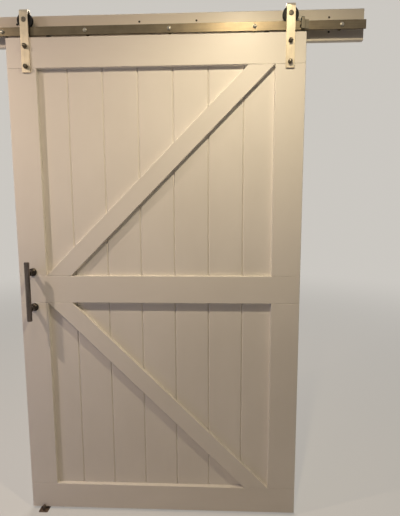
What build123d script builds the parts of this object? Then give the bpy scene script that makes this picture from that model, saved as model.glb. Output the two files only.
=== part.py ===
from build123d import *
import math
import os

# A wooden sliding barn door with two K braces, hung from a flat steel rail on a painted header board.
# All sizes are in millimetres. The origin lies on the wall, in the middle of the header board's back.
# +X runs along the rail to the open end, +Y points into the wall and +Z points up.

# Leaf
leaf_width = 1247.0
leaf_height = 2134.0
leaf_from_end_bolt = 141.5
board_thickness = 19.0
stile_width = 124.0
rail_height = 122.0
brace_end_cut = 110.0
board_easing = 1.2

# Planks behind the frame boards
plank_thickness = 19.0
plank_pitch = 149.5
v_groove_depth = 4.5
tongue_length = 6.0
tongue_thickness = 6.2
tongue_clearance = 0.2

# Header board on the wall
header_height = 125.0
header_thickness = 19.0
header_overhang = 3.0
header_edge_radius = 4.0

# Header screws
header_screw_head_radius = 4.4
header_screw_shank_radius = 2.5
header_screw_neck_radius = 1.8
header_screw_neck_beyond_board = 1.0
header_screw_length = 50.0
header_screw_left_distance = 53.5
header_screw_right_distance = 42.5
header_screw_inner_distances = (524.0, 1048.0, 1572.0, 1813.0)
header_screw_top_inset = 32.5
header_screw_bottom_inset = 35.5

# Flat rail
track_length = 2650.0
track_height = 35.0
track_thickness = 6.0
track_below_header_centre = 14.0
track_easing = 0.5
leaf_below_track = 9.5

# Rail bolts and the spacers that hold the rail off the header
bolt_pitch = 351.0
bolt_end_distance = 96.5
bolt_radius = 4.0
bolt_hole_clearance = 0.5
bolt_length = 90.0
bolt_head_across_flats = 13.0
bolt_head_height = 5.0
washer_radius = 8.5
washer_thickness = 1.5
spacer_length = 32.0
spacer_radius = 9.0

# Hangers
hanger_left_inset = 84.5
hanger_right_inset = 65.0
strap_width = 35.0
strap_thickness = 6.0
wheel_side_clearance = 3.0
strap_drop = 140.5
strap_bend_above_axle = 27.0
strap_easing = 0.6

# Wheels
wheel_radius = 32.5
wheel_tread_radius = 24.5
wheel_thickness = 15.0
wheel_groove_side_clearance = 0.5
wheel_groove_flare = 1.6
wheel_rim_rounding = 1.5
wheel_hub_radius = 17.0
wheel_web_recess = 1.5
wheel_lip = 1.5
track_running_clearance = 0.3

# Wheel bearings, axles and bushes
bearing_outer_radius = 13.0
bearing_width = 8.0
bearing_race_width = 3.0
bearing_shield_recess = 0.6
axle_radius = 5.0
axle_running_clearance = 0.05
axle_head_radius = 10.5
axle_head_height = 3.5
axle_socket_across_flats = 6.0
axle_socket_depth = 2.2
axle_end_beyond_nut = 1.5
axle_hole_clearance = 0.2
axle_nut_across_flats = 17.0
axle_nut_height = 7.0
bush_radius = 7.0
bush_end_clearance = 0.1

# Bolts that hold each strap to the leaf
leaf_bolt_radius = 5.0
leaf_bolt_upper_drop = 36.0
leaf_bolt_lower_drop = 117.0
leaf_bolt_head_radius = 12.0
leaf_bolt_head_height = 5.0
leaf_bolt_neck_width = 10.3
leaf_bolt_neck_length = 5.5
cap_nut_across_flats = 17.0
cap_nut_height = 18.0
cap_nut_hex_height = 8.0
cap_nut_dome_radius = 8.0

# Anti-jump discs on the leaf's top edge
disc_radius = 12.5
disc_thickness = 6.0
disc_from_hanger = 96.0
disc_behind_leaf_front = 14.5
disc_screw_radius = 2.5
disc_screw_head_radius = 5.0
disc_screw_length = 30.0
disc_screw_sink = 2.5

# End stops and their rubber bumpers
stop_width = 14.5
stop_height = 45.0
stop_above_track = 13.0
stop_reach = 11.5
stop_track_clearance = 0.2
stop_rounding = 4.0
stop_saddle_length = 16.0
stop_saddle_wall = 3.0
stop_saddle_above_track = 3.5
stop_contact_gap = 0.7
bumper_radius = 3.9
bumper_height = 5.0
bumper_stem_radius = 1.8
bumper_stem_length = 5.0
bumper_spacing = 18.5
bumper_above_track_centre = 6.5
stop_screw_radius = 2.5
stop_screw_head_radius = 4.5
stop_screw_head_height = 2.5
stop_screw_spacing = 18.0

# Places of the end stops, which set the leaf's travel
left_stop_from_end_bolt = 64.0
opening_travel = 11.5

# Pull handle
handle_bar_radius = 11.0
handle_bar_length = 262.0
handle_stand_off = 55.0
handle_post_spacing = 160.0
handle_below_leaf_centre = 2.0
handle_flange_radius = 18.0
handle_flange_height = 5.0
handle_collar_radius = 13.5
handle_waist_radius = 10.5
handle_end_rounding = 1.5
handle_screw_radius = 3.0
handle_screw_head_radius = 5.5
handle_screw_head_height = 3.5
handle_washer_radius = 9.0
handle_washer_thickness = 1.5
handle_saddle_depth = 3.0
handle_screw_bite = 20.0

# Floor guide
floor_gap = 12.0
guide_x_from_leaf = 57.0
guide_base_width = 44.0
guide_base_reach = 24.0
guide_base_thickness = 3.0
guide_corner_radius = 5.0
guide_roller_radius = 6.5
guide_roller_height = 20.0
guide_collar_height = 1.7
guide_collar_radius = 4.5
guide_roller_end_play = 0.3
guide_roller_clearance = 0.8
guide_roller_rounding = 1.2
guide_pin_radius = 2.5
guide_pin_running_clearance = 0.05
guide_pin_head_radius = 4.5
guide_pin_head_height = 1.8
guide_screw_radius = 2.0
guide_screw_head_radius = 4.0
guide_screw_length = 30.0
guide_screw_edge_distance = 8.0

# Cross recess in a screw head, as shares of the head's radius
recess_width_share = 1.2
recess_bar_share = 0.28
recess_depth_share = 0.34

# Clearances and small edges that many pieces share
hole_clearance = 0.2
hole_overrun = 1.0
edge_chamfer = 0.6

# Places worked out from the sizes above
bolt_count = int(round((track_length - 2 * bolt_end_distance) / bolt_pitch)) + 1
bolt_xs = [(index - (bolt_count - 1) / 2) * bolt_pitch for index in range(bolt_count)]
header_length = track_length + 2 * header_overhang
header_front_y = -header_thickness
track_back_y = header_front_y - spacer_length
track_front_y = track_back_y - track_thickness
wheel_plane_y = (track_back_y + track_front_y) / 2
strap_gap = wheel_thickness + 2 * wheel_side_clearance
leaf_front_y = wheel_plane_y - strap_gap / 2
planks_front_y = leaf_front_y + board_thickness
leaf_back_y = planks_front_y + plank_thickness
strap_front_y = leaf_front_y - strap_thickness
strap_back_leg_y = wheel_plane_y + strap_gap / 2
strap_outer_radius = strap_gap / 2 + strap_thickness

track_centre_z = -track_below_header_centre
track_top_z = track_centre_z + track_height / 2
track_bottom_z = track_centre_z - track_height / 2
axle_z = track_top_z + track_running_clearance + wheel_tread_radius
strap_bend_z = axle_z + strap_bend_above_axle
leaf_top_z = track_bottom_z - leaf_below_track
leaf_bottom_z = leaf_top_z - leaf_height
leaf_centre_z = (leaf_top_z + leaf_bottom_z) / 2
floor_z = leaf_bottom_z - floor_gap

leaf_right_x = bolt_xs[-1] - leaf_from_end_bolt
leaf_left_x = leaf_right_x - leaf_width
hanger_xs = {"left": leaf_left_x + hanger_left_inset, "right": leaf_right_x - hanger_right_inset}
stile_inner_left_x = leaf_left_x + stile_width
stile_inner_right_x = leaf_right_x - stile_width
upper_opening = (leaf_centre_z + rail_height / 2, leaf_top_z - rail_height)
lower_opening = (leaf_bottom_z + rail_height, leaf_centre_z - rail_height / 2)
handle_x = leaf_left_x + stile_width / 2
handle_centre_z = leaf_centre_z - handle_below_leaf_centre
handle_bar_y = leaf_front_y - handle_stand_off

room_side = Rot(90, 0, 0)
wall_side = Rot(-90, 0, 0)


def block(x_range, y_range, z_range):
    """A box between the given limits."""
    sizes = [high - low for low, high in (x_range, y_range, z_range)]
    middle = [(high + low) / 2 for low, high in (x_range, y_range, z_range)]
    return Pos(*middle) * Box(*sizes)


def turned(points):
    """A solid turned about the Z axis from (radius, height) points."""
    profile = Plane.XZ * make_face(Polyline(*points, close=True))
    return revolve(profile, axis=Axis.Z)


def rod(radius, low, high):
    """A cylinder on the Z axis between two heights."""
    return Pos(0, 0, (low + high) / 2) * Cylinder(radius, high - low)


def hexagon(across_flats, low, high):
    """A hexagonal prism on the Z axis between two heights."""
    outline = RegularPolygon(across_flats / 2, 6, major_radius=False)
    return Pos(0, 0, low) * extrude(outline, high - low)


def cut_where_met(piece, cutters):
    """Take away from a piece only the cutters whose boxes reach it."""
    piece_box = piece.bounding_box()
    for cutter in cutters:
        if piece_box.overlaps(cutter.bounding_box()):
            piece = piece - cutter
    return piece


def shank_end(radius, length):
    """The outline of a screw's blunt point at -length."""
    return [(radius, 2 * radius - length), (radius / 5, -length), (0, -length)]


def cross_recess(head_radius, top):
    """The cutter for a cross-shaped recess in the middle of a screw head."""
    half_width = head_radius * recess_width_share / 2
    half_bar = head_radius * recess_bar_share / 2
    heights = (top - head_radius * recess_depth_share, top + hole_overrun)
    bar = block((-half_width, half_width), (-half_bar, half_bar), heights)
    return bar + Rot(0, 0, 90) * bar


def countersunk_form(head_radius, shank_radius, length):
    """A flat cone over a pointed shank, on the Z axis from height 0 down to -length."""
    head_depth = head_radius - shank_radius
    return turned([(0, 0), (head_radius, 0), (shank_radius, -head_depth), *shank_end(shank_radius, length)])


def countersunk_screw(head_radius, shank_radius, length):
    """A screw on the Z axis with its flat recessed head at height 0 and its point at -length."""
    return countersunk_form(head_radius, shank_radius, length) - cross_recess(head_radius, 0)


def countersunk_hole(head_radius, shank_radius, length):
    """The hole for a countersunk screw, wider and deeper than it by the usual clearance."""
    sizes = [size + hole_clearance for size in (head_radius, shank_radius, length)]
    return countersunk_form(*sizes)


def header_screw():
    """A countersunk screw on the Z axis with a thin neck in the board and its thread in the wall."""
    head_radius, neck_radius = header_screw_head_radius, header_screw_neck_radius
    thread_start = -header_thickness - header_screw_neck_beyond_board
    outline = [(0, 0), (head_radius, 0), (neck_radius, neck_radius - head_radius)]
    outline += [(neck_radius, thread_start), (header_screw_shank_radius, thread_start)]
    outline += shank_end(header_screw_shank_radius, header_screw_length)
    return turned(outline) - cross_recess(head_radius, 0)


def save(node, shape):
    """Write one sub-part to its own STEP file."""
    shape.label = node
    export_step(shape, f"parts/{node}.step")


def save_group(node, shapes):
    """Write like pieces, each its own solid, as one sub-part."""
    solids = [solid for shape in shapes for solid in shape.solids()]
    save(node, Compound(children=solids))


# Places of the fasteners and fittings
header_screw_first_x = bolt_xs[0] + header_screw_left_distance
header_screw_last_x = bolt_xs[-1] - header_screw_right_distance
header_screw_inner_xs = [header_screw_first_x + distance for distance in header_screw_inner_distances]
header_screw_xs = [header_screw_first_x, *header_screw_inner_xs, header_screw_last_x]
header_screw_zs = [header_height / 2 - header_screw_top_inset, header_screw_bottom_inset - header_height / 2]
header_screw_places = [(x, z) for x in header_screw_xs for z in header_screw_zs]
leaf_bolt_zs = [leaf_top_z - leaf_bolt_upper_drop, leaf_top_z - leaf_bolt_lower_drop]
leaf_bolt_places = [(x, z) for x in hanger_xs.values() for z in leaf_bolt_zs]
handle_post_zs = {
    "upper": handle_centre_z + handle_post_spacing / 2,
    "lower": handle_centre_z - handle_post_spacing / 2,
}
disc_xs = [hanger_xs["left"] + disc_from_hanger, hanger_xs["right"] - disc_from_hanger]
disc_y = leaf_front_y + disc_behind_leaf_front
stop_top_z = track_top_z + stop_above_track
wheel_reach_at_stop = math.sqrt(wheel_radius**2 - max(axle_z - stop_top_z, 0) ** 2)
stop_distance = wheel_reach_at_stop + stop_contact_gap
stop_faces = {
    "left": (bolt_xs[0] + left_stop_from_end_bolt, 1),
    "right": (hanger_xs["right"] + opening_travel + stop_distance, -1),
}
bumper_y = (wheel_plane_y - stop_reach + track_front_y - stop_track_clearance) / 2
bumper_zs = [track_centre_z + bumper_above_track_centre + side * bumper_spacing / 2 for side in (1, -1)]
stop_screw_zs = [track_centre_z + side * stop_screw_spacing / 2 for side in (1, -1)]
guide_x = leaf_left_x + guide_x_from_leaf
guide_roller_ys = {
    "front": leaf_front_y - guide_roller_clearance - guide_roller_radius,
    "back": leaf_back_y + guide_roller_clearance + guide_roller_radius,
}
guide_base_top_z = floor_z + guide_base_thickness
guide_roller_bottom_z = guide_base_top_z + guide_collar_height + guide_roller_end_play
guide_roller_top_z = guide_roller_bottom_z + guide_roller_height
guide_base_ys = (leaf_front_y - guide_base_reach, leaf_back_y + guide_base_reach)
guide_screw_xs = [guide_x + side * (guide_base_width / 2 - guide_screw_edge_distance) for side in (-1, 1)]
guide_screw_ys = [guide_base_ys[0] + guide_screw_edge_distance, guide_base_ys[1] - guide_screw_edge_distance]
guide_screw_places = [(x, y) for x in guide_screw_xs for y in guide_screw_ys]


def domed_profile(radius, edge_height, height):
    """The half outline of a round head with a straight edge and a domed top."""
    dome = height - edge_height
    sphere = (radius**2 + dome**2) / (2 * dome)
    half_angle = math.asin(min(radius / sphere, 1)) / 2
    arc_middle = (sphere * math.sin(half_angle), height - sphere + sphere * math.cos(half_angle))
    sides = Polyline((0, height), (0, 0), (radius, 0), (radius, edge_height))
    return sides + ThreePointArc((radius, edge_height), arc_middle, (0, height))


def domed_head(radius, edge_height, height):
    """A round head with a domed top, standing on the XY plane."""
    profile = Plane.XZ * make_face(domed_profile(radius, edge_height, height).edges())
    return revolve(profile, axis=Axis.Z)


def hole_into_wall(x, z, start_y, end_y, radius):
    """A round cutter along Y between two depths."""
    return Pos(x, 0, z) * wall_side * rod(radius, start_y, end_y)


def upright_hole(x, y, low, high, radius):
    """A round cutter along Z between two heights."""
    return Pos(x, y, 0) * rod(radius, low, high)


def front_edges(board):
    """The edges round a board's front face."""
    return board.faces().sort_by(Axis.Y)[0].edges()


def leaf_holes():
    """Every hole that goes through the leaf's boards and planks."""
    before, behind = leaf_front_y - hole_overrun, leaf_back_y + hole_overrun
    bolt_hole = leaf_bolt_radius + hole_clearance
    holes = [hole_into_wall(x, z, before, behind, bolt_hole) for x, z in leaf_bolt_places]
    for z in handle_post_zs.values():
        holes.append(hole_into_wall(handle_x, z, before, behind, handle_screw_radius + hole_clearance))
    for x in disc_xs:
        low, high = leaf_top_z - disc_screw_length - hole_clearance, leaf_top_z + hole_overrun
        holes.append(upright_hole(x, disc_y, low, high, disc_screw_radius + hole_clearance))
    return holes


def neck_pockets():
    """Square pockets for the necks of the leaf bolts, in the back of the planks."""
    half_width = leaf_bolt_neck_width / 2 + hole_clearance
    depth = (leaf_back_y - leaf_bolt_neck_length - hole_clearance, leaf_back_y + hole_overrun)
    pocket = block((-half_width, half_width), depth, (-half_width, half_width))
    return [Pos(x, 0, z) * pocket for x, z in leaf_bolt_places]


def frame_board(x_range, z_range, holes):
    """One straight board on the front of the leaf, with its front edges eased."""
    board = block(x_range, (leaf_front_y, planks_front_y), z_range)
    return cut_where_met(chamfer(front_edges(board), board_easing), holes)


def brace(opening, rises):
    """A slanted board that fills an opening from corner to corner."""
    low_z, high_z = opening
    start = stile_inner_left_x if rises else stile_inner_right_x - brace_end_cut
    end = stile_inner_right_x - brace_end_cut if rises else stile_inner_left_x
    corners = [(start, low_z), (start + brace_end_cut, low_z), (end + brace_end_cut, high_z), (end, high_z)]
    planks_face = Plane((0, planks_front_y, 0), x_dir=(1, 0, 0), z_dir=(0, -1, 0))
    board = extrude(planks_face * make_face(Polyline(*corners, close=True)), board_thickness)
    return chamfer(front_edges(board), board_easing)


def plank_edges():
    """The X places where planks meet, from the leaf's left edge to its right edge."""
    narrowest_edge = max(hanger_left_inset, hanger_right_inset) + leaf_bolt_head_radius
    full_planks = int((leaf_width - 2 * narrowest_edge) // plank_pitch)
    edge_width = (leaf_width - full_planks * plank_pitch) / 2
    joints = [leaf_left_x + edge_width + index * plank_pitch for index in range(full_planks + 1)]
    return [leaf_left_x, *joints, leaf_right_x]


def plank(left, right, joined_left, joined_right):
    """A tongue and groove plank with V edges, cut square where nothing joins it."""
    front, back = planks_front_y, leaf_back_y
    middle = (front + back) / 2
    half_tongue = tongue_thickness / 2
    half_groove = half_tongue + tongue_clearance
    groove = left + tongue_length + tongue_clearance
    tongue = right + tongue_length
    left_side = [(left, back), (left, front)]
    if joined_left:
        left_side = [(left + v_groove_depth, back), (left, back - v_groove_depth)]
        left_side += [(left, middle + half_groove), (groove, middle + half_groove)]
        left_side += [(groove, middle - half_groove), (left, middle - half_groove)]
        left_side += [(left, front + v_groove_depth), (left + v_groove_depth, front)]
    right_side = [(right, front), (right, back)]
    if joined_right:
        right_side = [(right - v_groove_depth, front), (right, front + v_groove_depth)]
        right_side += [(right, middle - half_tongue), (tongue, middle - half_tongue)]
        right_side += [(tongue, middle + half_tongue), (right, middle + half_tongue)]
        right_side += [(right, back - v_groove_depth), (right - v_groove_depth, back)]
    outline = make_face(Polyline(*left_side, *right_side, close=True))
    return extrude(Pos(0, 0, leaf_bottom_z) * outline, leaf_height, dir=(0, 0, 1))


def make_leaf():
    """The boards and planks of the leaf."""
    holes = leaf_holes()
    full_width = (leaf_left_x, leaf_right_x)
    left_stile = (leaf_left_x, stile_inner_left_x)
    right_stile = (stile_inner_right_x, leaf_right_x)
    middle_rail = (leaf_centre_z - rail_height / 2, leaf_centre_z + rail_height / 2)
    save("top_rail", frame_board(full_width, (leaf_top_z - rail_height, leaf_top_z), holes))
    save("middle_rail", frame_board(full_width, middle_rail, holes))
    save("bottom_rail", frame_board(full_width, (leaf_bottom_z, leaf_bottom_z + rail_height), holes))
    save("stile_upper_left", frame_board(left_stile, upper_opening, holes))
    save("stile_upper_right", frame_board(right_stile, upper_opening, holes))
    save("stile_lower_left", frame_board(left_stile, lower_opening, holes))
    save("stile_lower_right", frame_board(right_stile, lower_opening, holes))
    save("brace_upper", brace(upper_opening, rises=True))
    save("brace_lower", brace(lower_opening, rises=False))
    edges = plank_edges()
    last = len(edges) - 2
    names = ["edge_left", *range(1, last), "edge_right"]
    for index, name in enumerate(names):
        board = plank(edges[index], edges[index + 1], index > 0, index < last)
        save(f"plank_{name}", cut_where_met(board, holes + neck_pockets()))


def header_board():
    """The painted board that carries the rail, with holes for its bolts and screws."""
    half_length, half_height = header_length / 2, header_height / 2
    board = block((-half_length, half_length), (header_front_y, 0), (-half_height, half_height))
    long_edges = board.faces().sort_by(Axis.Y)[0].edges().filter_by(Axis.X)
    board = fillet(long_edges, header_edge_radius)
    before = header_front_y - hole_overrun
    bolt_hole = bolt_radius + hole_clearance
    holes = [hole_into_wall(x, track_centre_z, before, hole_overrun, bolt_hole) for x in bolt_xs]
    screw_hole = countersunk_hole(header_screw_head_radius, header_screw_shank_radius, header_screw_length)
    holes += [Pos(x, header_front_y, z) * room_side * screw_hole for x, z in header_screw_places]
    return board - holes


def track_rail():
    """The flat rail with its eased ends and its row of bolt holes."""
    half_length = track_length / 2
    bar = block((-half_length, half_length), (track_front_y, track_back_y), (track_bottom_z, track_top_z))
    bar = chamfer(bar.edges().filter_by(Axis.X), track_easing)
    before, behind = track_front_y - hole_overrun, track_back_y + hole_overrun
    hole_radius = bolt_radius + bolt_hole_clearance
    return bar - [hole_into_wall(x, track_centre_z, before, behind, hole_radius) for x in bolt_xs]


def track_bolt():
    """A hex lag bolt on the Z axis, its head standing on height 0."""
    corner_radius = bolt_head_across_flats / math.sqrt(3)
    head = hexagon(bolt_head_across_flats, 0, bolt_head_height)
    crown = domed_head(corner_radius, bolt_head_height - corner_radius / 4, bolt_head_height)
    shank = turned([(0, 0), (bolt_radius, 0), *shank_end(bolt_radius, bolt_length)])
    return (head & crown) + shank


def ring(outer_radius, inner_radius, low, high):
    """A plain ring on the Z axis between two heights."""
    return turned([(inner_radius, low), (outer_radius, low), (outer_radius, high), (inner_radius, high)])


def make_header_and_rail():
    """The header board and the rail with what fastens them."""
    save("header_board", header_board())
    screw = header_screw()
    screws = [Pos(x, header_front_y, z) * room_side * screw for x, z in header_screw_places]
    save_group("header_screws", screws)
    save("track_rail", track_rail())
    hole_radius = bolt_radius + bolt_hole_clearance
    spacer = ring(spacer_radius, hole_radius, 0, spacer_length)
    washer = ring(washer_radius, hole_radius, 0, washer_thickness)
    seats = [Pos(x, 0, track_centre_z) * room_side for x in bolt_xs]
    save_group("track_spacers", [seat * Pos(0, 0, -header_front_y) * spacer for seat in seats])
    save_group("track_washers", [seat * Pos(0, 0, -track_front_y) * washer for seat in seats])
    bolt = Pos(0, 0, washer_thickness - track_front_y) * track_bolt()
    save_group("track_bolts", [seat * bolt for seat in seats])


def end_stop(face_x, inward):
    """A block over the rail, with its face turned to the wheel and a low saddle on its other side."""
    far_x = face_x - inward * stop_width
    x_range = (min(face_x, far_x), max(face_x, far_x))
    bottom_z = stop_top_z - stop_height
    body = block(x_range, (wheel_plane_y - stop_reach, wheel_plane_y + stop_reach), (bottom_z, stop_top_z))
    body = fillet(body.faces().sort_by(Axis.Z)[-1].edges().filter_by(Axis.X), stop_rounding)
    body = chamfer(body.faces().sort_by(Axis.Y)[0].edges(), edge_chamfer)
    slot_y = (track_front_y - stop_track_clearance, track_back_y + stop_track_clearance)
    middle_x = (face_x + far_x) / 2
    saddle_end_x = far_x - inward * stop_saddle_length
    saddle_x = (min(middle_x, saddle_end_x), max(middle_x, saddle_end_x))
    saddle_y = (slot_y[0] - stop_saddle_wall, slot_y[1] + stop_saddle_wall)
    saddle = block(saddle_x, saddle_y, (bottom_z, track_top_z + stop_saddle_above_track))
    body += chamfer(saddle.edges().filter_by(Axis.X), edge_chamfer)
    slot_x = (min(x_range[0], saddle_x[0]) - hole_overrun, max(x_range[1], saddle_x[1]) + hole_overrun)
    body -= block(slot_x, slot_y, (bottom_z - hole_overrun, track_top_z + stop_track_clearance))
    for z in stop_screw_zs:
        far_y = wheel_plane_y + stop_reach + hole_overrun
        body -= hole_into_wall(middle_x, z, track_back_y, far_y, stop_screw_radius + hole_clearance)
    for z in bumper_zs:
        depth = bumper_stem_length + hole_clearance
        hole = rod(bumper_stem_radius + hole_clearance, -depth, hole_overrun)
        body -= Pos(face_x, bumper_y, z) * Rot(0, 90 * inward, 0) * hole
    return body


def make_end_stops():
    """The two end stops with their rubber buttons and clamp screws."""
    bumpers = []
    screws = []
    back_y = wheel_plane_y + stop_reach
    button = domed_head(bumper_radius, bumper_height / 2, bumper_height)
    button += rod(bumper_stem_radius, -bumper_stem_length, 0)
    screw = domed_head(stop_screw_head_radius, stop_screw_head_height / 3, stop_screw_head_height)
    screw -= cross_recess(stop_screw_head_radius, stop_screw_head_height)
    screw += rod(stop_screw_radius, track_back_y - back_y, 0)
    for side, (face_x, inward) in stop_faces.items():
        save(f"end_stop_{side}", end_stop(face_x, inward))
        middle_x = face_x - inward * stop_width / 2
        bumpers += [Pos(face_x, bumper_y, z) * Rot(0, 90 * inward, 0) * button for z in bumper_zs]
        screws += [Pos(middle_x, back_y, z) * wall_side * screw for z in stop_screw_zs]
    save_group("stop_bumpers", bumpers)
    save_group("stop_screws", screws)


def hanger_strap(x):
    """A flat bar that is bolted to the leaf, bent over the wheel and closed round behind its axle."""
    half_width = strap_width / 2
    across = (x - half_width, x + half_width)
    front_leg = block(across, (strap_front_y, leaf_front_y), (leaf_top_z - strap_drop, strap_bend_z))
    ends = front_leg.faces().sort_by(Axis.Z)[0].edges().filter_by(Axis.Y)
    front_leg = chamfer(ends, strap_easing)
    back_leg = block(across, (strap_back_leg_y, strap_back_leg_y + strap_thickness), (axle_z, strap_bend_z))
    round_end = hole_into_wall(x, axle_z, strap_back_leg_y, strap_back_leg_y + strap_thickness, half_width)
    bend = Pos(x, wheel_plane_y, strap_bend_z) * Rot(0, 90, 0) * Cylinder(strap_outer_radius, strap_width)
    bend -= Pos(x, wheel_plane_y, strap_bend_z) * Rot(0, 90, 0) * Cylinder(strap_gap / 2, strap_width)
    above = (strap_bend_z, strap_bend_z + strap_outer_radius)
    bend &= block(across, (strap_front_y, strap_back_leg_y + strap_thickness), above)
    strap = front_leg + bend + back_leg + round_end
    before, between = strap_front_y - hole_overrun, leaf_front_y + hole_overrun
    behind = strap_back_leg_y + strap_thickness + hole_overrun
    holes = [hole_into_wall(x, axle_z, before, behind, axle_radius + axle_hole_clearance)]
    holes += [hole_into_wall(x, z, before, between, leaf_bolt_radius + hole_clearance) for z in leaf_bolt_zs]
    return strap - holes


def wheel():
    """A grooved wheel on the Z axis, with a bearing pocket that opens upwards."""
    half = wheel_thickness / 2
    groove_half = track_thickness / 2 + wheel_groove_side_clearance
    rim_half = groove_half + wheel_groove_flare
    shoulder = -bearing_width / 2
    web_outer = wheel_tread_radius + wheel_groove_flare
    return turned(
        [
            (bearing_outer_radius, half),
            (wheel_hub_radius, half),
            (wheel_hub_radius, half - wheel_web_recess),
            (web_outer, half - wheel_web_recess),
            (web_outer, half),
            (wheel_radius - wheel_rim_rounding, half),
            (wheel_radius, half - wheel_rim_rounding),
            (wheel_radius, rim_half),
            (wheel_tread_radius, groove_half),
            (wheel_tread_radius, -groove_half),
            (wheel_radius, -rim_half),
            (wheel_radius, wheel_rim_rounding - half),
            (wheel_radius - wheel_rim_rounding, -half),
            (web_outer, -half),
            (web_outer, wheel_web_recess - half),
            (wheel_hub_radius, wheel_web_recess - half),
            (wheel_hub_radius, -half),
            (bearing_outer_radius - wheel_lip, -half),
            (bearing_outer_radius - wheel_lip, shoulder),
            (bearing_outer_radius, shoulder),
        ]
    )


def bearing():
    """A ball bearing on the Z axis as one ring, with its shields set back between the races."""
    half = bearing_width / 2
    bore = axle_radius + axle_running_clearance
    inner_race = bore + bearing_race_width
    outer_race = bearing_outer_radius - bearing_race_width
    shield = half - bearing_shield_recess
    upper = [(inner_race, half), (inner_race, shield), (outer_race, shield), (outer_race, half)]
    lower = [(radius, -height) for radius, height in reversed(upper)]
    corners = [(bearing_outer_radius, half), (bearing_outer_radius, -half)]
    return turned([(bore, -half), (bore, half), *upper, *corners, *lower])


def axle_bolt():
    """A button-head bolt on the Z axis, its head above height 0 and its shank below."""
    length = strap_gap + 2 * strap_thickness + axle_nut_height + axle_end_beyond_nut
    head = domed_head(axle_head_radius, axle_head_height / 5, axle_head_height)
    socket_floor = axle_head_height - axle_socket_depth
    head -= hexagon(axle_socket_across_flats, socket_floor, axle_head_height + hole_overrun)
    return head + rod(axle_radius, -length, 0)


def hex_nut(across_flats, height, bore_radius):
    """A plain hex nut on the Z axis, standing on height 0."""
    return hexagon(across_flats, 0, height) - rod(bore_radius, -hole_overrun, height + hole_overrun)


def bushes(x):
    """The two sleeves that keep the wheel's bearing in the middle between the legs."""
    bore = axle_radius + axle_hole_clearance
    inner = bearing_width / 2 + bush_end_clearance
    front = Pos(x, wheel_plane_y, axle_z) * room_side * ring(bush_radius, bore, inner, strap_gap / 2)
    back = Pos(x, wheel_plane_y, axle_z) * wall_side * ring(bush_radius, bore, inner, strap_gap / 2)
    return [front, back]


def make_hangers():
    """Straps, wheels, bearings, axles and nuts on both sides."""
    nuts = []
    nut = hex_nut(axle_nut_across_flats, axle_nut_height, axle_radius + hole_clearance)
    for side, x in hanger_xs.items():
        centre = Pos(x, wheel_plane_y, axle_z) * wall_side
        save(f"hanger_strap_{side}", hanger_strap(x))
        save(f"wheel_{side}", centre * wheel())
        save(f"wheel_bearing_{side}", centre * bearing())
        save(f"axle_bolt_{side}", Pos(x, strap_front_y, axle_z) * room_side * axle_bolt())
        save_group(f"axle_bushes_{side}", bushes(x))
        nuts.append(Pos(x, strap_back_leg_y + strap_thickness, axle_z) * wall_side * nut)
    save_group("axle_nuts", nuts)


def leaf_bolt():
    """A round-head bolt with a square neck on the Z axis, its head above height 0."""
    length = leaf_back_y - strap_front_y + cap_nut_hex_height
    half_neck = leaf_bolt_neck_width / 2
    neck = block((-half_neck, half_neck), (-half_neck, half_neck), (-leaf_bolt_neck_length, 0))
    head = domed_head(leaf_bolt_head_radius, leaf_bolt_head_height / 5, leaf_bolt_head_height)
    return head + neck + rod(leaf_bolt_radius, -length, 0)


def cap_nut():
    """A domed nut on the Z axis, standing on height 0 with a blind bore."""
    body = hexagon(cap_nut_across_flats, 0, cap_nut_hex_height)
    cap = domed_head(cap_nut_dome_radius, cap_nut_height - cap_nut_dome_radius, cap_nut_height)
    bore = rod(leaf_bolt_radius + hole_clearance, -hole_overrun, cap_nut_hex_height + hole_clearance)
    return body + cap - bore


def make_leaf_fasteners():
    """The bolts and domed nuts that hold the straps to the leaf."""
    bolt, nut = leaf_bolt(), cap_nut()
    save_group("door_bolts", [Pos(x, leaf_back_y, z) * wall_side * bolt for x, z in leaf_bolt_places])
    save_group("cap_nuts", [Pos(x, strap_front_y, z) * room_side * nut for x, z in leaf_bolt_places])


def make_anti_jump_discs():
    """Two discs on the leaf's top edge that keep the wheels from lifting off the rail."""
    head_z = disc_thickness - disc_screw_sink
    sunk = Pos(0, 0, head_z)
    disc = rod(disc_radius, 0, disc_thickness)
    disc = chamfer(disc.edges().filter_by(GeomType.CIRCLE), edge_chamfer)
    disc -= sunk * countersunk_hole(disc_screw_head_radius, disc_screw_radius, disc_screw_length)
    disc -= rod(disc_screw_head_radius + hole_clearance, head_z, disc_thickness + hole_overrun)
    screw = sunk * countersunk_screw(disc_screw_head_radius, disc_screw_radius, disc_screw_length)
    places = [Pos(x, disc_y, leaf_top_z) for x in disc_xs]
    save_group("anti_jump_discs", [place * disc for place in places])
    save_group("anti_jump_screws", [place * screw for place in places])


def handle_post():
    """A turned post on the Z axis with a wide flange, a narrower waist and a collar that meets the bar."""
    length = handle_stand_off - handle_bar_radius + handle_saddle_depth
    ease, edge = handle_end_rounding, handle_flange_height
    flange, waist, collar = handle_flange_radius, handle_waist_radius, handle_collar_radius
    post = turned(
        [
            (0, 0),
            (flange, 0),
            (flange, edge - ease),
            (flange - ease, edge),
            (waist + edge, edge),
            (waist, 2 * edge),
            (waist, length - edge - collar + waist),
            (collar, length - edge),
            (collar, length - ease),
            (collar - ease, length),
            (0, length),
        ]
    )
    bar = Pos(0, 0, handle_stand_off) * Rot(90, 0, 0) * Cylinder(handle_bar_radius, 4 * flange)
    bore_depth = handle_screw_bite + hole_clearance
    return post - bar - rod(handle_screw_radius + hole_clearance, -hole_overrun, bore_depth)


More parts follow.
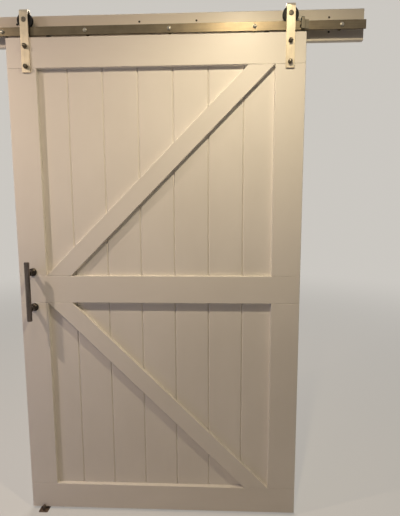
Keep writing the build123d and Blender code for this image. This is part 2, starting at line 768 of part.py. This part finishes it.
def handle_screw():
    """A pan-head screw and its washer on the Z axis, the washer standing on height 0."""
    shank_length = leaf_back_y - leaf_front_y + handle_screw_bite
    head = domed_head(handle_screw_head_radius, edge_chamfer, handle_screw_head_height)
    head -= cross_recess(handle_screw_head_radius, handle_screw_head_height)
    shank = rod(handle_screw_radius, -shank_length, handle_washer_thickness)
    screw = Pos(0, 0, handle_washer_thickness) * head + shank
    washer = ring(handle_washer_radius, handle_screw_radius + hole_clearance, 0, handle_washer_thickness)
    return [screw, washer]


def make_handle():
    """The round pull handle, its two posts and their screws from behind."""
    half_length = handle_bar_length / 2
    bar = rod(handle_bar_radius, handle_centre_z - half_length, handle_centre_z + half_length)
    bar = chamfer(bar.edges().filter_by(GeomType.CIRCLE), handle_end_rounding)
    save("handle_bar", Pos(handle_x, handle_bar_y, 0) * bar)
    screws = []
    for level, z in handle_post_zs.items():
        save(f"handle_post_{level}", Pos(handle_x, leaf_front_y, z) * room_side * handle_post())
        screws += [Pos(handle_x, leaf_back_y, z) * wall_side * piece for piece in handle_screw()]
    save_group("handle_screws", screws)


def guide_base():
    """The floor plate with holes for its screws and pins and a collar under each roller."""
    x_range = (guide_x - guide_base_width / 2, guide_x + guide_base_width / 2)
    plate = block(x_range, guide_base_ys, (floor_z, guide_base_top_z))
    plate = fillet(plate.edges().filter_by(Axis.Z), guide_corner_radius)
    plate = chamfer(plate.faces().sort_by(Axis.Z)[-1].edges(), edge_chamfer)
    collar_top = guide_base_top_z + guide_collar_height
    for y in guide_roller_ys.values():
        plate += Pos(guide_x, y, 0) * rod(guide_collar_radius, guide_base_top_z, collar_top)
        hole_radius = guide_pin_radius + hole_clearance
        plate -= upright_hole(guide_x, y, floor_z - hole_overrun, collar_top + hole_overrun, hole_radius)
    screw_hole = countersunk_hole(guide_screw_head_radius, guide_screw_radius, guide_screw_length)
    return plate - [Pos(x, y, guide_base_top_z) * screw_hole for x, y in guide_screw_places]


def guide_roller():
    """A roller on the Z axis between its two end heights."""
    bore = guide_pin_radius + guide_pin_running_clearance
    radius, ease = guide_roller_radius, guide_roller_rounding
    low, high = guide_roller_bottom_z, guide_roller_top_z
    return turned(
        [
            (bore, low),
            (radius - ease, low),
            (radius, low + ease),
            (radius, high - ease),
            (radius - ease, high),
            (bore, high),
        ]
    )


def guide_pin():
    """A pin on the Z axis from the floor to a flat head above the roller."""
    head_bottom = guide_roller_top_z + guide_roller_end_play
    head = Pos(0, 0, head_bottom) * domed_head(guide_pin_head_radius, edge_chamfer, guide_pin_head_height)
    return head + rod(guide_pin_radius, floor_z, head_bottom)


def make_floor_guide():
    """The floor guide that keeps the leaf's foot between two rollers."""
    save("guide_base", guide_base())
    save_group("guide_pins", [Pos(guide_x, y, 0) * guide_pin() for y in guide_roller_ys.values()])
    screw = countersunk_screw(guide_screw_head_radius, guide_screw_radius, guide_screw_length)
    save_group("guide_screws", [Pos(x, y, guide_base_top_z) * screw for x, y in guide_screw_places])
    for side, y in guide_roller_ys.items():
        save(f"guide_roller_{side}", Pos(guide_x, y, 0) * guide_roller())


os.makedirs("parts", exist_ok=True)
make_header_and_rail()
make_end_stops()
make_leaf()
make_hangers()
make_leaf_fasteners()
make_anti_jump_discs()
make_handle()
make_floor_guide()
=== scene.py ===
import bmesh
import bpy
import math
from mathutils import Matrix, Vector


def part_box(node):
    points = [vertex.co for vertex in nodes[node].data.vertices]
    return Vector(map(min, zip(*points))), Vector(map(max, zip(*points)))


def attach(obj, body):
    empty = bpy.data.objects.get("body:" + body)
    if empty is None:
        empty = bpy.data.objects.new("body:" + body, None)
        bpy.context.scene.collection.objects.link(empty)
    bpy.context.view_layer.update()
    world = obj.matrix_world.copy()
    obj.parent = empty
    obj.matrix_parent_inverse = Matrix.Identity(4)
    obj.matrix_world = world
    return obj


# The looks of a white sliding barn door on its steel rail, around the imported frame. Sizes are in metres.

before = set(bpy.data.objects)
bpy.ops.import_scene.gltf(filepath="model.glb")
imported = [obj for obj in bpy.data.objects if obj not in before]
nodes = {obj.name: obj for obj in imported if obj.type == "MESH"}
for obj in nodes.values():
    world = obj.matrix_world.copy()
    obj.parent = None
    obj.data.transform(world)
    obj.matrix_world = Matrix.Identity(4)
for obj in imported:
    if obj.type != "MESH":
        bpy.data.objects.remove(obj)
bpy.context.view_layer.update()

# Viewing position that the photograph was taken from
image_height_px = 516
focal_length_px = 400
sensor_mm = 36.0
camera_place = (0.7227, -1.8002, -0.7492)
camera_turn_deg = (82.89, 0.23, 2.35)
view_limit = 100.0

# Floor, and the background that it fades into
floor_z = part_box("guide_base")[0][2]
floor_reach = 30.0
floor_colour = (0.66, 0.63, 0.59)
floor_roughness = 0.9
background_colour = (0.60, 0.575, 0.535)
background_share_near = 0.45
fade_start = 1.0
fade_end = 8.0

# Light from all round
world_colour = (1.0, 0.84, 0.70)
world_strength = 0.04

# Small ceiling lamps: place, watts and colour
ceiling_lamps = {
    "lamp_right": ((0.86, -0.75, 0.36), 51.5, (1.0, 0.843, 0.572)),
    "lamp_left": ((-0.90, -0.74, 0.34), 70.5, (1.0, 0.794, 0.61)),
}
ceiling_lamp_radius = 0.025
ceiling_lamp_cone_deg = 170.0

# Wide soft lamps: place, target, width, watts, colour, and whether gloss mirrors them
soft_lamps = {
    "bounce": ((0.0, -1.1, 0.5), (0.1, -0.06, -0.8), 0.8, 4.4, (1.0, 0.735, 0.544), False),
    "cool_left": ((-1.6, -1.2, -1.2), (0.2, -0.06, -1.2), 1.0, 4.0, (0.44, 0.50, 1.0), False),
    "back": ((0.2, 3.0, 1.4), (0.3, 0.0, -0.8), 2.0, 90.0, (1.0, 0.96, 0.90), True),
}

# Colours, as linear values
leaf_white = (0.83, 0.80, 0.755)
leaf_shaded_white = (0.78, 0.75, 0.70)
header_white = (0.83, 0.785, 0.705)
header_shaded_white = (0.78, 0.735, 0.65)
# joint_shade is painted shade: it darkens the paint where boards meet and in corners, where shade falls
joint_shade = (0.45, 0.40, 0.34)
# corner_shade is painted shade: it darkens metal in its inner corners, where shade falls
corner_shade = (0.15, 0.12, 0.08)
strap_metal = (0.69, 0.60, 0.450)
track_metal = (0.185, 0.150, 0.099)
bolt_metal = (0.46, 0.418, 0.34)
axle_metal = (0.24, 0.209, 0.16)
stop_metal = (0.165, 0.146, 0.108)
nut_metal = (0.17, 0.143, 0.107)
bar_metal = (0.23, 0.190, 0.170)
post_metal = (0.050, 0.040, 0.032)
plain_steel = (0.40, 0.38, 0.34)
bronze = (0.19, 0.145, 0.115)
roller_grey = (0.085, 0.070, 0.062)
screw_black = (0.030, 0.026, 0.022)
near_black = (0.009, 0.008, 0.008)
rubber_black = (0.006, 0.006, 0.006)
unchanged = (1.0, 1.0, 1.0)

# Middle part of a noise, which is stretched over a range of roughness
noise_low = 0.3
noise_high = 0.7

# Paint: how far marks are drawn out along a board, how fine they are, and how deep
grain_stretch, grain_scale, grain_depth = 28.0, 110.0, 0.00012
brush_stretch, brush_scale, brush_depth = 60.0, 420.0, 0.00004
paint_cloud_stretch, paint_cloud_scale = 2.0, 3.5
paint_cloud_low, paint_cloud_high = 0.3, 0.62
paint_roughness_low, paint_roughness_high = 0.34, 0.46
paint_ior = 1.48

# Painted shade in joints: how near a facing wall is, and the openness from which it fades
joint_shade_reach = 0.0016
joint_shade_full, joint_shade_none = 0.15, 0.55
openness_samples = 8

# Brushed metal: fine scratches, broader streaks, faint stains, and painted shade in corners
scratch_stretch, scratch_scale, scratch_depth = 45.0, 2600.0, 0.000005
plain_streak_scale, plain_streak_shade = 520.0, 0.83
streak_low, streak_high = 0.36, 0.60
stain_scale, stain_shade = 25.0, 0.8
stain_low, stain_high = 0.32, 0.66
smoother_scratch, rougher_scratch = 0.07, 0.09
brushed_anisotropy = 0.4
corner_shade_full, corner_shade_none = 0.45, 0.95

# Moulded plastic and rubber: pebbled skin and paler clouds
pebble_scale, pebble_depth = 1800.0, 0.00004
mould_cloud_scale = 60.0
mould_cloud_low, mould_cloud_high = 0.3, 0.75
paler_factor, paler_lift = 1.9, 0.002
smoother_mould, rougher_mould = 0.06, 0.08
mould_specular = 0.25

# Coated metal: skin, and rubbed spots where the coat is thinner
skin_scale, skin_depth = 900.0, 0.00003
rub_scale = 70.0
rub_low, rub_high = 0.55, 0.8
rubbed_factor = 3.0
rub_roughness_swing = 0.08
coat_metallic = 0.6

# Rounded edges
same_spot = 0.000005
flat_deg = 0.5
edge_deg = 35.0
plank_edge, plank_edge_steps = 0.0012, 3
board_edge, board_edge_steps = 0.0006, 2
metal_edge, metal_edge_steps = 0.0003, 2

# Threads: the fasteners, shank radius, pitch, how far below the wall's or floor's face they start, and how much
# of the fastener's reach below that face they leave bare
threads = {
    "track_bolt_threads": ("track_bolts", 0.004, 0.0032, 0.001, 0.010),
    "header_screw_threads": ("header_screws", 0.0025, 0.0024, 0.0018, 0.0075),
    "guide_screw_threads": ("guide_screws", 0.002, 0.002, 0.001, 0.006),
}
thread_steps = 16
thread_crest_share = 0.13
thread_foot_share = 0.32
thread_foot_depth = 0.0001

# Screws in the planks' backs
panel_screw_radius = 0.004
panel_screw_proud = 0.0003
panel_screw_turn_deg = 37.0
panel_screw_inset = 0.034
panel_screw_inset_share = 0.28
head_sides = 24
head_sunk = 0.0002
rim_share = 0.93
cross_reach_share, cross_half_bar_share, cross_depth_share = 0.62, 0.15, 0.4
cross_floor_share = 0.8

# Width of the slanted boards' pointed ends along the rails
brace_end_cut = 0.110

ALONG_X = (1.0, 0.0, 0.0)
ALONG_Z = (0.0, 0.0, 1.0)
INTO_WALL = (0.0, 1.0, 0.0)
INTO_FLOOR = (0.0, 0.0, -1.0)


def new_material(name):
    """A node material with its tree and its surface shader."""
    material = bpy.data.materials.new(name)
    material.use_nodes = True
    tree = material.node_tree
    shader = tree.nodes["Principled BSDF"]
    return material, tree, shader


def streak_coords(tree, direction, stretch):
    """Object coordinates turned so that a mark runs along a direction, and drawn out by stretch."""
    coords = tree.nodes.new("ShaderNodeTexCoord")
    mapping = tree.nodes.new("ShaderNodeMapping")
    mapping.vector_type = "TEXTURE"
    turn = Vector((1, 0, 0)).rotation_difference(Vector(direction)).to_euler()
    mapping.inputs["Rotation"].default_value = turn
    mapping.inputs["Scale"].default_value = (stretch, 1.0, 1.0)
    tree.links.new(coords.outputs["Object"], mapping.inputs["Vector"])
    return mapping.outputs["Vector"]


def noise(tree, vector, scale, detail, roughness=0.55):
    """A noise texture's value over some coordinates."""
    texture = tree.nodes.new("ShaderNodeTexNoise")
    texture.inputs["Scale"].default_value = scale
    texture.inputs["Detail"].default_value = detail
    texture.inputs["Roughness"].default_value = roughness
    tree.links.new(vector, texture.inputs["Vector"])
    return texture.outputs["Fac"]


def ramp(tree, value, low, high, low_colour, high_colour):
    """A colour that goes from one to another as a value goes from low to high."""
    node = tree.nodes.new("ShaderNodeValToRGB")
    node.color_ramp.elements[0].position = low
    node.color_ramp.elements[1].position = high
    node.color_ramp.elements[0].color = (*low_colour, 1.0)
    node.color_ramp.elements[1].color = (*high_colour, 1.0)
    tree.links.new(value, node.inputs["Fac"])
    return node.outputs["Color"]


def spread(tree, value, low, high):
    """A noise's value stretched to run from low to high."""
    node = tree.nodes.new("ShaderNodeMapRange")
    node.inputs["From Min"].default_value = noise_low
    node.inputs["From Max"].default_value = noise_high
    node.inputs["To Min"].default_value = low
    node.inputs["To Max"].default_value = high
    tree.links.new(value, node.inputs["Value"])
    return node.outputs["Result"]


def bump(tree, shader, heights):
    """Stacked bumps from (height value, depth) pairs, led into the shader's normal."""
    normal = None
    for value, depth in heights:
        node = tree.nodes.new("ShaderNodeBump")
        node.inputs["Distance"].default_value = depth
        node.inputs["Strength"].default_value = 1.0
        tree.links.new(value, node.inputs["Height"])
        if normal:
            tree.links.new(normal, node.inputs["Normal"])
        normal = node.outputs["Normal"]
    tree.links.new(normal, shader.inputs["Normal"])


def shaded(tree, colour, shade):
    """A colour multiplied by a shade."""
    node = tree.nodes.new("ShaderNodeMix")
    node.data_type = "RGBA"
    node.blend_type = "MULTIPLY"
    node.inputs["Factor"].default_value = 1.0
    tree.links.new(colour, node.inputs["A"])
    tree.links.new(shade, node.inputs["B"])
    return node.outputs["Result"]


def crevice_shade(tree, colour, reach, shade_tint, full, none):
    """A colour with painted shade in joints and corners, whole below one openness and gone above another."""
    hollow = tree.nodes.new("ShaderNodeAmbientOcclusion")
    hollow.samples = openness_samples
    hollow.inputs["Distance"].default_value = reach
    return shaded(tree, colour, ramp(tree, hollow.outputs["AO"], full, none, shade_tint, unchanged))


def painted_wood(name, direction, shaded_joints=True, shaded_colour=leaf_shaded_white, plain_colour=leaf_white):
    """Satin paint on a board, with brush marks and a trace of grain along the board."""
    material, tree, shader = new_material(name)
    grain = streak_coords(tree, direction, grain_stretch)
    brush = streak_coords(tree, direction, brush_stretch)
    cloud = streak_coords(tree, direction, paint_cloud_stretch)
    grain_value = noise(tree, grain, grain_scale, detail=4.0)
    brush_value = noise(tree, brush, brush_scale, detail=2.0)
    cloud_value = noise(tree, cloud, paint_cloud_scale, detail=4.0)
    colour = ramp(tree, cloud_value, paint_cloud_low, paint_cloud_high, shaded_colour, plain_colour)
    if shaded_joints:
        # painted shade in the board's joints and corners
        colour = crevice_shade(tree, colour, joint_shade_reach, joint_shade, joint_shade_full, joint_shade_none)
    tree.links.new(colour, shader.inputs["Base Color"])
    roughness = spread(tree, brush_value, paint_roughness_low, paint_roughness_high)
    tree.links.new(roughness, shader.inputs["Roughness"])
    shader.inputs["IOR"].default_value = paint_ior
    bump(tree, shader, [(grain_value, grain_depth), (brush_value, brush_depth)])
    return material


def brushed_metal(name, colour, direction, roughness, metallic=0.9, streak_scale=plain_streak_scale,
                  streak_shade=plain_streak_shade, corner_shade_reach=0.0):
    """Brushed metal with scratches and streaks along a direction, faint stains, and painted shade in its
    corners.
    """
    material, tree, shader = new_material(name)
    scratch = streak_coords(tree, direction, scratch_stretch)
    plain = streak_coords(tree, direction, 1.0)
    scratch_value = noise(tree, scratch, scratch_scale, detail=2.0)
    streak_value = noise(tree, scratch, streak_scale, detail=4.0, roughness=0.65)
    stain_value = noise(tree, plain, stain_scale, detail=5.0)
    darker = tuple(channel * stain_shade for channel in colour)
    stained = ramp(tree, stain_value, stain_low, stain_high, darker, colour)
    streak = ramp(tree, streak_value, streak_low, streak_high, (streak_shade,) * 3, unchanged)
    streaked = shaded(tree, stained, streak)
    if corner_shade_reach:
        # painted shade in the metal's inner corners
        streaked = crevice_shade(tree, streaked, corner_shade_reach, corner_shade, corner_shade_full, corner_shade_none)
    tree.links.new(streaked, shader.inputs["Base Color"])
    scratched = spread(tree, scratch_value, roughness - smoother_scratch, roughness + rougher_scratch)
    tree.links.new(scratched, shader.inputs["Roughness"])
    shader.inputs["Metallic"].default_value = metallic
    shader.inputs["Anisotropic"].default_value = brushed_anisotropy
    bump(tree, shader, [(scratch_value, scratch_depth)])
    return material


def moulded_black(name, colour, roughness):
    """Black moulded plastic or rubber with a fine pebbled skin."""
    material, tree, shader = new_material(name)
    plain = streak_coords(tree, ALONG_X, 1.0)
    pebble = noise(tree, plain, pebble_scale, detail=3.0)
    cloud_value = noise(tree, plain, mould_cloud_scale, detail=4.0)
    paler = tuple(channel * paler_factor + paler_lift for channel in colour)
    clouded = ramp(tree, cloud_value, mould_cloud_low, mould_cloud_high, colour, paler)
    tree.links.new(clouded, shader.inputs["Base Color"])
    uneven = spread(tree, cloud_value, roughness - smoother_mould, roughness + rougher_mould)
    tree.links.new(uneven, shader.inputs["Roughness"])
    shader.inputs["Specular IOR Level"].default_value = mould_specular
    bump(tree, shader, [(pebble, pebble_depth)])
    return material


def coated_metal(name, colour, roughness):
    """A dark coated steel with a faint texture and rubbed spots."""
    material, tree, shader = new_material(name)
    plain = streak_coords(tree, ALONG_X, 1.0)
    skin = noise(tree, plain, skin_scale, detail=3.0)
    rub = noise(tree, plain, rub_scale, detail=6.0, roughness=0.7)
    rubbed = tuple(channel * rubbed_factor for channel in colour)
    tree.links.new(ramp(tree, rub, rub_low, rub_high, colour, rubbed), shader.inputs["Base Color"])
    polished = spread(tree, rub, roughness + rub_roughness_swing, roughness - rub_roughness_swing)
    tree.links.new(polished, shader.inputs["Roughness"])
    shader.inputs["Metallic"].default_value = coat_metallic
    bump(tree, shader, [(skin, skin_depth)])
    return material


def dress(names, material):
    """Give CAD nodes one material."""
    for name in names:
        mesh = nodes[name].data
        if not mesh.materials:
            mesh.materials.append(material)
        for material_slot in nodes[name].material_slots:
            material_slot.material = material


def brace_direction(node):
    """The direction in which a slanted board runs, from its box's corner to corner."""
    low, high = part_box(node)
    run = high[0] - low[0] - brace_end_cut
    rise = high[2] - low[2]
    sign = 1.0 if node == "brace_upper" else -1.0
    return Vector((sign * run, 0.0, rise)).normalized()


def dress_wood():
    """Paint on every board and plank, each with its grain along its length."""
    dress([name for name in nodes if name.startswith("stile_")], painted_wood("paint_upright", ALONG_Z))
    dress([name for name in nodes if name.startswith("plank_")],
          painted_wood("paint_planks", ALONG_Z, shaded_joints=False))
    dress(["top_rail", "middle_rail", "bottom_rail"], painted_wood("paint_level", ALONG_X))
    dress(["header_board"], painted_wood("paint_header", ALONG_X, shaded_colour=header_shaded_white,
                                         plain_colour=header_white))
    for name in ("brace_upper", "brace_lower"):
        dress([name], painted_wood(f"paint_{name}", brace_direction(name)))


def dress_hardware():
    """Steel, nylon and rubber on the rail, the hangers, the handle and the floor guide."""
    dress(["hanger_strap_left", "hanger_strap_right"],
          brushed_metal("strap_steel", strap_metal, ALONG_Z, roughness=0.40, metallic=0.75))
    dress(["track_rail"], brushed_metal("track_steel", track_metal, ALONG_X, roughness=0.37, metallic=0.85))
    dress(["track_spacers", "axle_bushes_left", "axle_bushes_right"],
          brushed_metal("spacer_steel", track_metal, ALONG_Z, roughness=0.38))
    dress(["end_stop_left", "end_stop_right"],
          # the end stops get painted shade in the corner between the block and the saddle
          brushed_metal("stop_steel", stop_metal, ALONG_Z, roughness=0.40, corner_shade_reach=0.008))
    dress(["track_bolts", "track_washers"], brushed_metal("bolt_steel", bolt_metal, ALONG_X, roughness=0.30))
    dress(["axle_bolt_left", "axle_bolt_right", "axle_nuts"],
          brushed_metal("axle_steel", axle_metal, ALONG_X, roughness=0.50))
    dress(["cap_nuts"], brushed_metal("nut_steel", nut_metal, ALONG_X, roughness=0.24))
    dress(["anti_jump_screws", "wheel_bearing_left", "wheel_bearing_right", "handle_screws", "door_bolts"],
          brushed_metal("plain_steel", plain_steel, ALONG_X, roughness=0.32))
    dress(["handle_bar"], brushed_metal("handle_steel", bar_metal, ALONG_Z, roughness=0.30, streak_scale=260.0,
                                        streak_shade=0.25))
    dress(["handle_post_upper", "handle_post_lower"],
          brushed_metal("post_steel", post_metal, ALONG_X, roughness=0.24))
    dress(["header_screws", "stop_screws"], coated_metal("screw_black", screw_black, roughness=0.42))
    dress(["guide_base", "guide_screws", "guide_pins"], coated_metal("guide_bronze", bronze, roughness=0.36))
    dress(["wheel_left", "wheel_right", "anti_jump_discs"],
          moulded_black("black_nylon", near_black, roughness=0.46))
    dress(["guide_roller_front", "guide_roller_back"],
          moulded_black("roller_nylon", roller_grey, roughness=0.42))
    dress(["stop_bumpers"], moulded_black("black_rubber", rubber_black, roughness=0.62))


def soften_edges():
    """Small rounded edges on boards and metal, so that they catch the light as real ones do.

    Flat faces with holes are joined first, because the rounding would fold the slivers in them.
    """
    planks = [name for name in nodes if name.startswith("plank_")]
    boards = [name for name in nodes if name.startswith(("stile_", "brace_")) or name.endswith("_rail")]
    boards = [name for name in boards if name != "track_rail"] + ["header_board"]
    flat_metal = ["hanger_strap_left", "hanger_strap_right", "track_rail", "end_stop_left", "end_stop_right",
                  "guide_base"]
    round_metal = ["cap_nuts", "axle_nuts", "track_bolts", "track_washers", "handle_bar", "handle_post_upper",
                   "handle_post_lower", "door_bolts", "axle_bolt_left", "axle_bolt_right"]
    for names, width, steps, has_flats in ((planks, plank_edge, plank_edge_steps, True),
                                           (boards, board_edge, board_edge_steps, True),
                                           (flat_metal, metal_edge, metal_edge_steps, True),
                                           (round_metal, metal_edge, metal_edge_steps, False)):
        for name in names:
            weld = nodes[name].modifiers.new("joined", "WELD")
            weld.merge_threshold = same_spot
            if has_flats:
                flats = nodes[name].modifiers.new("flats", "DECIMATE")
                flats.decimate_type = "DISSOLVE"
                flats.angle_limit = math.radians(flat_deg)
            edge = nodes[name].modifiers.new("edge", "BEVEL")
            edge.width = width
            edge.segments = steps
            edge.limit_method = "ANGLE"
            edge.angle_limit = math.radians(edge_deg)
            edge.use_clamp_overlap = True
            edge.harden_normals = True


def islands(name):
    """The lowest and highest corners of each separate solid in a CAD node."""
    mesh = nodes[name].data
    keys = [tuple(round(value, 6) for value in vertex.co) for vertex in mesh.vertices]
    leader = {key: key for key in keys}

    def find(key):
        while leader[key] != key:
            leader[key] = leader[leader[key]]
            key = leader[key]
        return key

    for polygon in mesh.polygons:
        first = find(keys[polygon.vertices[0]])
        for vertex in polygon.vertices[1:]:
            leader[find(keys[vertex])] = first
    groups = {}
    for key in leader:
        groups.setdefault(find(key), []).append(key)
    boxes = []
    for corners in groups.values():
        columns = list(zip(*corners))
        boxes.append(([min(column) for column in columns], [max(column) for column in columns]))
    return sorted(boxes)


def new_piece(name, form, body, material, smooth=True):
    """Turn a bmesh into a piece that rides on a body."""
    mesh = bpy.data.meshes.new(name)
    bmesh.ops.recalc_face_normals(form, faces=form.faces)
    form.to_mesh(mesh)
    form.free()
    if smooth:
        mesh.shade_smooth()
        mesh.set_sharp_from_angle(angle=math.radians(edge_deg))
    mesh.materials.append(material)
    piece = bpy.data.objects.new(name, mesh)
    bpy.context.scene.collection.objects.link(piece)
    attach(piece, body)


def add_thread(form, base, axis, radius, length, pitch):
    """A wound ridge with a sharp crest, round a shank that starts at base and runs along axis."""
    turn = Vector((0.0, 0.0, 1.0)).rotation_difference(Vector(axis))
    total = int(length / pitch * thread_steps)
    rows = []
    for step in range(total + 1):
        angle = 2 * math.pi * step / thread_steps
        height = length * step / total
        fade = min(1.0, step / thread_steps, (total - step) / thread_steps)
        crest = thread_crest_share * pitch * fade
        row = []
        for reach, shift in ((-thread_foot_depth, -thread_foot_share), (crest, 0.0),
                             (-thread_foot_depth, thread_foot_share)):
            across = radius + reach
            spot = Vector((across * math.cos(angle), across * math.sin(angle), height + shift * pitch))
            row.append(form.verts.new(Vector(base) + turn @ spot))
        rows.append(row)
    for low, high in zip(rows, rows[1:]):
        for index in range(2):
            form.faces.new((low[index], low[index + 1], high[index + 1], high[index]))


def make_threads(material):
    """Threads on the fasteners where they go into the wall and the floor."""
    for name, (fasteners, radius, pitch, start, left_out) in threads.items():
        form = bmesh.new()
        for low, high in islands(fasteners):
            x, y, z = [(low[axis] + high[axis]) / 2 for axis in range(3)]
            if fasteners == "guide_screws":
                length = floor_z - low[2] - left_out
                add_thread(form, (x, y, floor_z - start), INTO_FLOOR, radius, length, pitch)
            else:
                length = high[1] - left_out
                add_thread(form, (x, start, z), INTO_WALL, radius, length, pitch)
        new_piece(name, form, "root", material)


def add_screw_head(form, place, radius, proud, turn_deg):
    """A flat screw head that faces +Y, with a cross-shaped recess."""
    reach, half_bar = cross_reach_share * radius, cross_half_bar_share * radius
    depth = cross_depth_share * radius
    cross = [(reach, -half_bar), (reach, half_bar), (half_bar, half_bar), (half_bar, reach), (-half_bar, reach),
             (-half_bar, half_bar), (-reach, half_bar), (-reach, -half_bar), (-half_bar, -half_bar),
             (-half_bar, -reach), (half_bar, -reach), (half_bar, -half_bar)]
    spin = Matrix.Rotation(math.radians(turn_deg), 2)
    cross = [spin @ Vector(corner) for corner in cross]
    angles = [2 * math.pi * side / head_sides for side in range(head_sides)]
    circle = [Vector((math.cos(angle), math.sin(angle))) for angle in angles]

    def ring(points, scale, height):
        corners = [Vector(place) + Vector((scale * point.x, height, scale * point.y)) for point in points]
        return [form.verts.new(corner) for corner in corners]

    def walls(low, high):
        for index in range(len(low)):
            after = (index + 1) % len(low)
            form.faces.new((low[index], low[after], high[after], high[index]))

    foot = ring(circle, radius, -head_sunk)
    side = ring(circle, radius, proud * 0.5)
    rim = ring(circle, radius * rim_share, proud)
    walls(foot, side)
    walls(side, rim)
    mouth = ring(cross, 1.0, proud)
    bottom = ring(cross, cross_floor_share, proud - depth)
    walls(bottom, mouth)
    form.faces.new(bottom)
    edges = [form.edges.get((loop[i - 1], loop[i])) for loop in (rim, mouth) for i in range(len(loop))]
    bmesh.ops.triangle_fill(form, edges=edges, use_beauty=True)


def make_panel_screws(material):
    """The screws in the back of the planks that hold them to the three rails, two at each crossing."""
    form = bmesh.new()
    turn_deg = 0.0
    for plank in sorted(name for name in nodes if name.startswith("plank_")):
        low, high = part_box(plank)
        inset = min(panel_screw_inset, (high[0] - low[0]) * panel_screw_inset_share)
        for rail in ("top_rail", "middle_rail", "bottom_rail"):
            rail_low, rail_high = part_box(rail)
            third = (rail_high[2] - rail_low[2]) / 3
            for x, z in ((low[0] + inset, rail_low[2] + third), (high[0] - inset, rail_high[2] - third)):
                turn_deg += panel_screw_turn_deg
                add_screw_head(form, (x, high[1], z), panel_screw_radius, panel_screw_proud, turn_deg)
    new_piece("panel_screws", form, "door", material, smooth=False)


def show_to_camera(tree, output, lit, shown):
    """Mix two shaders, so that the camera, gloss and glass see one and the light comes from the other."""
    path = tree.nodes.new("ShaderNodeLightPath")
    seen = path.outputs["Is Camera Ray"]
    for ray in ("Is Glossy Ray", "Is Transmission Ray"):
        either = tree.nodes.new("ShaderNodeMath")
        either.operation = "MAXIMUM"
        tree.links.new(seen, either.inputs[0])
        tree.links.new(path.outputs[ray], either.inputs[1])
        seen = either.outputs["Value"]
    mix = tree.nodes.new("ShaderNodeMixShader")
    tree.links.new(seen, mix.inputs["Fac"])
    tree.links.new(lit, mix.inputs[1])
    tree.links.new(shown, mix.inputs[2])
    tree.links.new(mix.outputs["Shader"], output)


def make_world():
    """Soft light from all round, and a plain pale background."""
    world = bpy.data.worlds.new("studio")
    world.use_nodes = True
    tree = world.node_tree
    lit = tree.nodes["Background"]
    lit.inputs["Color"].default_value = (*world_colour, 1.0)
    lit.inputs["Strength"].default_value = world_strength
    shown = tree.nodes.new("ShaderNodeBackground")
    shown.inputs["Color"].default_value = (*background_colour, 1.0)
    output = tree.nodes["World Output"].inputs["Surface"]
    show_to_camera(tree, output, lit.outputs["Background"], shown.outputs["Background"])
    bpy.context.scene.world = world


def make_floor():
    """A wide pale floor under the door's lower edge, which fades into the background far away."""
    mesh = bpy.data.meshes.new("floor")
    signs = ((-1, -1), (1, -1), (1, 1), (-1, 1))
    corners = [(x * floor_reach, y * floor_reach, floor_z) for x, y in signs]
    mesh.from_pydata(corners, [], [(0, 1, 2, 3)])
    floor = bpy.data.objects.new("floor", mesh)
    bpy.context.scene.collection.objects.link(floor)
    material, tree, shader = new_material("floor_pale")
    shader.inputs["Base Color"].default_value = (*floor_colour, 1.0)
    shader.inputs["Roughness"].default_value = floor_roughness
    coords = tree.nodes.new("ShaderNodeTexCoord")
    distance = tree.nodes.new("ShaderNodeVectorMath")
    distance.operation = "LENGTH"
    tree.links.new(coords.outputs["Object"], distance.inputs[0])
    fade = tree.nodes.new("ShaderNodeMapRange")
    fade.interpolation_type = "SMOOTHSTEP"
    fade.inputs["From Min"].default_value = fade_start
    fade.inputs["From Max"].default_value = fade_end
    fade.inputs["To Min"].default_value = background_share_near
    tree.links.new(distance.outputs["Value"], fade.inputs["Value"])
    glow = tree.nodes.new("ShaderNodeEmission")
    glow.inputs["Color"].default_value = (*background_colour, 1.0)
    shown = tree.nodes.new("ShaderNodeMixShader")
    tree.links.new(fade.outputs["Result"], shown.inputs["Fac"])
    tree.links.new(shader.outputs["BSDF"], shown.inputs[1])
    tree.links.new(glow.outputs["Emission"], shown.inputs[2])
    output = tree.nodes["Material Output"].inputs["Surface"]
    show_to_camera(tree, output, shader.outputs["BSDF"], shown.outputs["Shader"])
    mesh.materials.append(material)


def place_lamp(name, light, place, target):
    """Add a lamp at a place, looking at a target."""
    lamp = bpy.data.objects.new(name, light)
    lamp.location = place
    lamp.rotation_euler = (Vector(target) - Vector(place)).to_track_quat("-Z", "Y").to_euler()
    bpy.context.scene.collection.objects.link(lamp)
    return lamp


def make_lights():
    """Two ceiling lamps near the wall, as the shadows in the photograph show, and soft light around them."""
    for name, (place, watts, colour) in ceiling_lamps.items():
        light = bpy.data.lights.new(name, "SPOT")
        light.energy = watts
        light.color = colour
        light.shadow_soft_size = ceiling_lamp_radius
        light.spot_size = math.radians(ceiling_lamp_cone_deg)
        light.spot_blend = 1.0
        below = (place[0], place[1] + 0.001, place[2] - 1.0)
        place_lamp(name, light, place, below)
    for name, (place, target, width, watts, colour, mirrored) in soft_lamps.items():
        light = bpy.data.lights.new(name, "AREA")
        light.size = width
        light.energy = watts
        light.color = colour
        place_lamp(name, light, place, target).visible_glossy = mirrored


def make_camera():
    """The camera at the photograph's place, angle and field of view."""
    data = bpy.data.cameras.new("camera")
    data.sensor_width = sensor_mm
    data.lens = focal_length_px / image_height_px * sensor_mm
    data.clip_end = view_limit
    camera = bpy.data.objects.new("camera", data)
    camera.location = camera_place
    camera.rotation_euler = [math.radians(angle) for angle in camera_turn_deg]
    bpy.context.scene.collection.objects.link(camera)
    bpy.context.scene.camera = camera


dress_wood()
dress_hardware()
soften_edges()
make_threads(coated_metal("thread_steel", screw_black, roughness=0.40))
make_panel_screws(coated_metal("panel_screw_steel", bronze, roughness=0.40))
make_floor()
make_world()
make_lights()
make_camera()
bpy.context.scene.view_settings.view_transform = "Standard"
